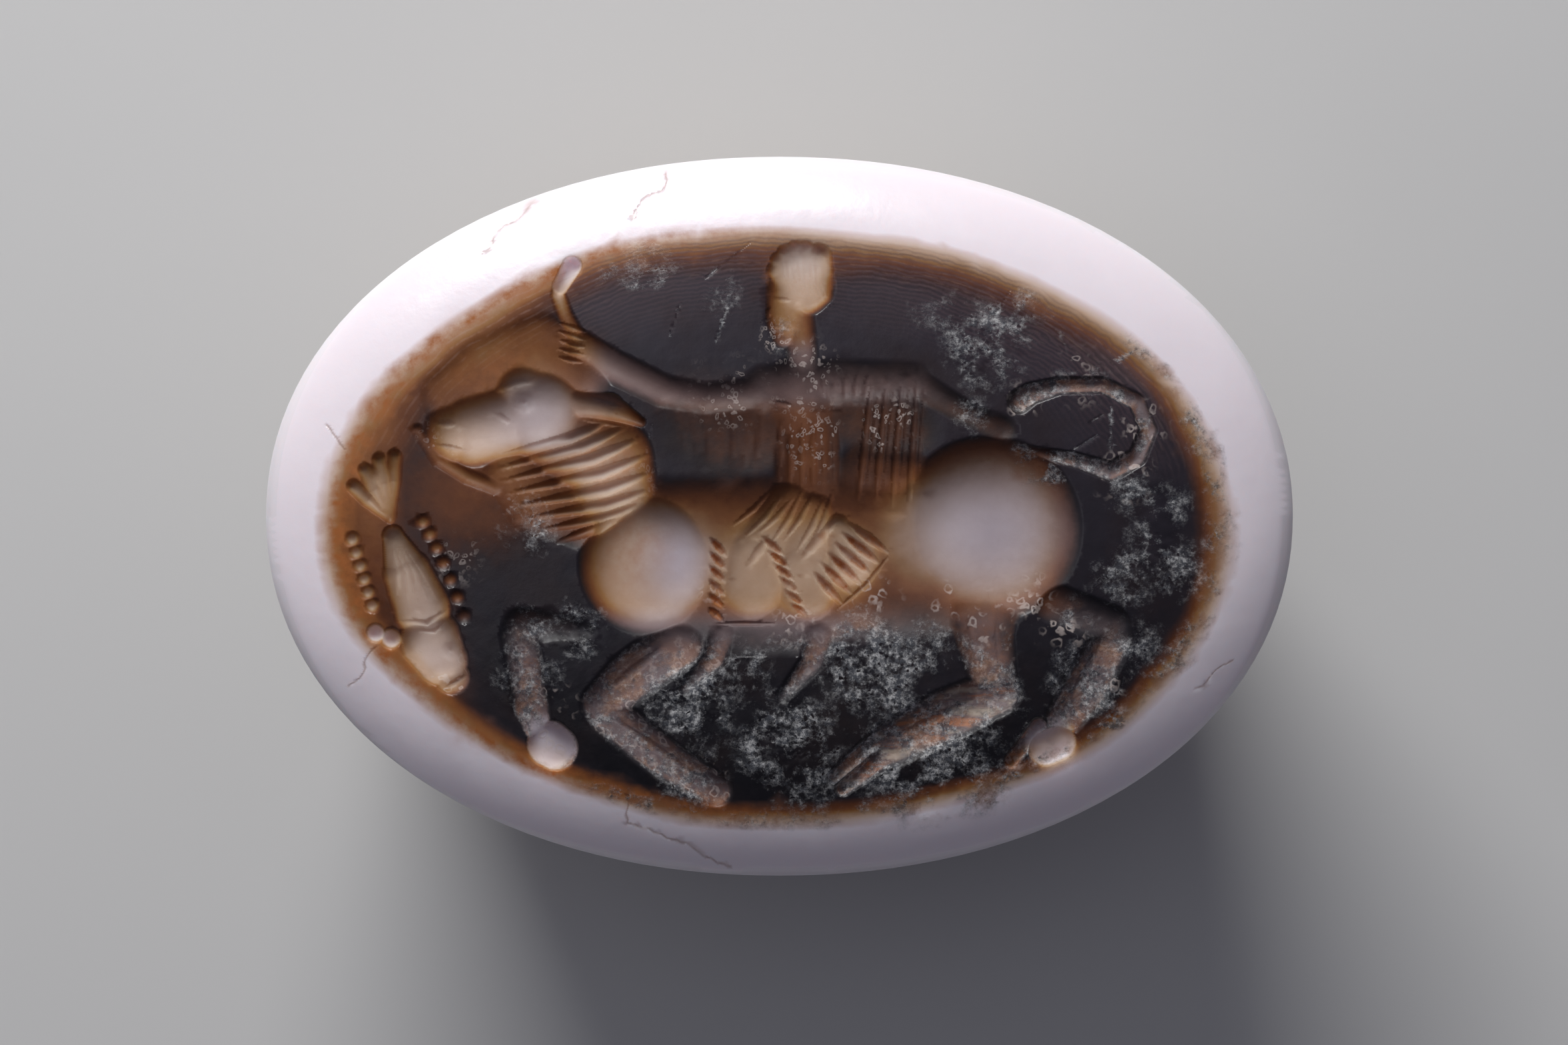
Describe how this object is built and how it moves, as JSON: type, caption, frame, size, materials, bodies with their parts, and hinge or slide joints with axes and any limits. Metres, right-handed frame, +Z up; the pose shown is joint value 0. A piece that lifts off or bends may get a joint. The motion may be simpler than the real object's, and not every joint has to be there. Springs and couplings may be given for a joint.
{
  "type": "scarab seal",
  "caption": "Ancient scarab seal of layered agate, engraved with a rider sitting sideways on a walking bull and a diving fish.",
  "frame": {"origin": "middle of the small flat on the beetle's back, on which the seal lies", "axes": "+Z up through the engraved face, +X along the seal towards the bull's tail"},
  "size_m": [0.018, 0.0126, 0.009],
  "materials": {
    "stone": "polished layered agate, dark over brown over milky white"
  },
  "bodies": {
    "root": {"seal_stone": "stone"}
  },
  "joints": []
}
